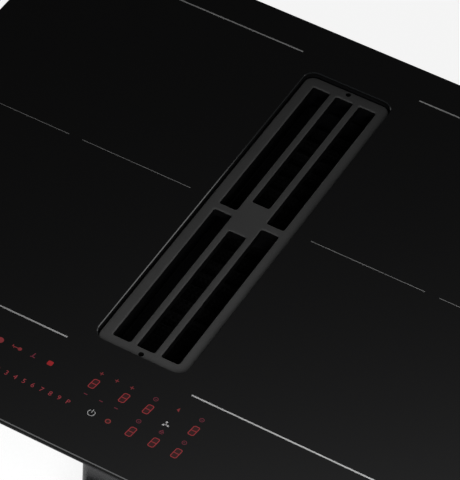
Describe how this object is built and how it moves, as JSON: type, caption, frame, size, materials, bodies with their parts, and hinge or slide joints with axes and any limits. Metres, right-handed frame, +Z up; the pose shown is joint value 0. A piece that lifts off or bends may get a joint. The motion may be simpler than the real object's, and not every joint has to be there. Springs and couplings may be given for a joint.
{
  "type": "downdraft induction cooktop",
  "caption": "Black glass induction hob with touch controls and a central cast-iron intake grille over a grease filter, drip tray and built-in downdraft blower.",
  "frame": {"origin": "on the base plane, under the middle of the glass plate", "axes": "+X to the right of someone cooking, +Y to the back, +Z up out of the glass"},
  "size_m": [0.6, 0.515, 0.21],
  "materials": {
    "ceramic_glass": "polished black glass ceramic",
    "seal_foam": "closed-cell foam",
    "die_cast": "fine sand-blasted casting",
    "cast_iron": "matt enamel",
    "black_polymer": "fine moulded grain",
    "wheel_polymer": "satin moulded",
    "filter_metal": "expanded metal, coated black",
    "black_cast": "black powder coat on a casting",
    "spring_steel": "bright zinc",
    "sheet_steel": "galvanised, faint spangle",
    "mica": "pressed mica sheet",
    "copper": "varnished winding wire",
    "deck_aluminium": "mill finish",
    "circuit_laminate": "solder mask"
  },
  "bodies": {
    "hob": {"glass_top": "ceramic_glass", "worktop_seal": "seal_foam", "intake_collar": "black_cast", "well_liner": "black_polymer", "base_casing": "sheet_steel", "mains_filter_board": "circuit_laminate", "control_board": "circuit_laminate", "control_carrier": "black_polymer", "terminal_box": "black_polymer", "cable_gland": "black_polymer", "plenum_gasket": "seal_foam", "plenum_housing": "black_polymer", "scroll_housing": "black_polymer", "blower_cover": "black_polymer", "suction_hood": "black_polymer", "outlet_flange": "black_polymer", "motor_stator": "die_cast", "blower_driver_box": "black_polymer", "insulation_left": "mica", "coil_deck_left": "deck_aluminium", "power_board_left": "circuit_laminate", "heat_sink_left": "deck_aluminium", "fan_frame_left": "wheel_polymer", "coil_front_left": "copper", "coil_carrier_front_left": "black_polymer", "coil_sensor_front_left": "spring_steel", "worktop_clamp_front_left": "spring_steel", "coil_back_left": "copper", "coil_carrier_back_left": "black_polymer", "coil_sensor_back_left": "spring_steel", "worktop_clamp_back_left": "spring_steel", "insulation_right": "mica", "coil_deck_right": "deck_aluminium", "power_board_right": "circuit_laminate", "heat_sink_right": "deck_aluminium", "fan_frame_right": "wheel_polymer", "coil_front_right": "copper", "coil_carrier_front_right": "black_polymer", "coil_sensor_front_right": "spring_steel", "worktop_clamp_front_right": "spring_steel", "coil_back_right": "copper", "coil_carrier_back_right": "black_polymer", "coil_sensor_back_right": "spring_steel", "worktop_clamp_back_right": "spring_steel"},
    "grille": {"intake_grille": "cast_iron"},
    "grease_filter": {"filter_frame": "filter_metal", "filter_mesh": "filter_metal", "filter_handle": "filter_metal"},
    "liquid_tray": {"drip_tray": "black_polymer"},
    "blower_wheel": {"impeller": "wheel_polymer", "motor_rotor": "spring_steel"},
    "fan_wheel_left": {"fan_rotor_left": "wheel_polymer"},
    "fan_wheel_right": {"fan_rotor_right": "wheel_polymer"}
  },
  "joints": [
    {"name": "grille_lift", "type": "slide", "parent": "hob", "child": "grille", "axis": [0, 0, 1], "range_m": [0, 0.12]},
    {"name": "filter_lift", "type": "slide", "parent": "hob", "child": "grease_filter", "axis": [0, 0, 1], "range_m": [0, 0.075]},
    {"name": "tray_slide", "type": "slide", "parent": "hob", "child": "liquid_tray", "axis": [0, -1, 0], "range_m": [0, 0.37]},
    {"name": "blower_spin", "type": "hinge", "parent": "hob", "child": "blower_wheel", "pos_m": [0.155, -0.025, 0.05], "axis": [0, 0, 1], "continuous": true},
    {"name": "fan_left_spin", "type": "hinge", "parent": "hob", "child": "fan_wheel_left", "pos_m": [-0.205, -0.184, 0.17], "axis": [0, 0, 1], "continuous": true},
    {"name": "fan_right_spin", "type": "hinge", "parent": "hob", "child": "fan_wheel_right", "pos_m": [0.205, -0.184, 0.17], "axis": [0, 0, 1], "continuous": true}
  ],
  "couplings": [
    {"joint": "filter_lift", "follows": "grille_lift", "ratio": 0.625}
  ]
}
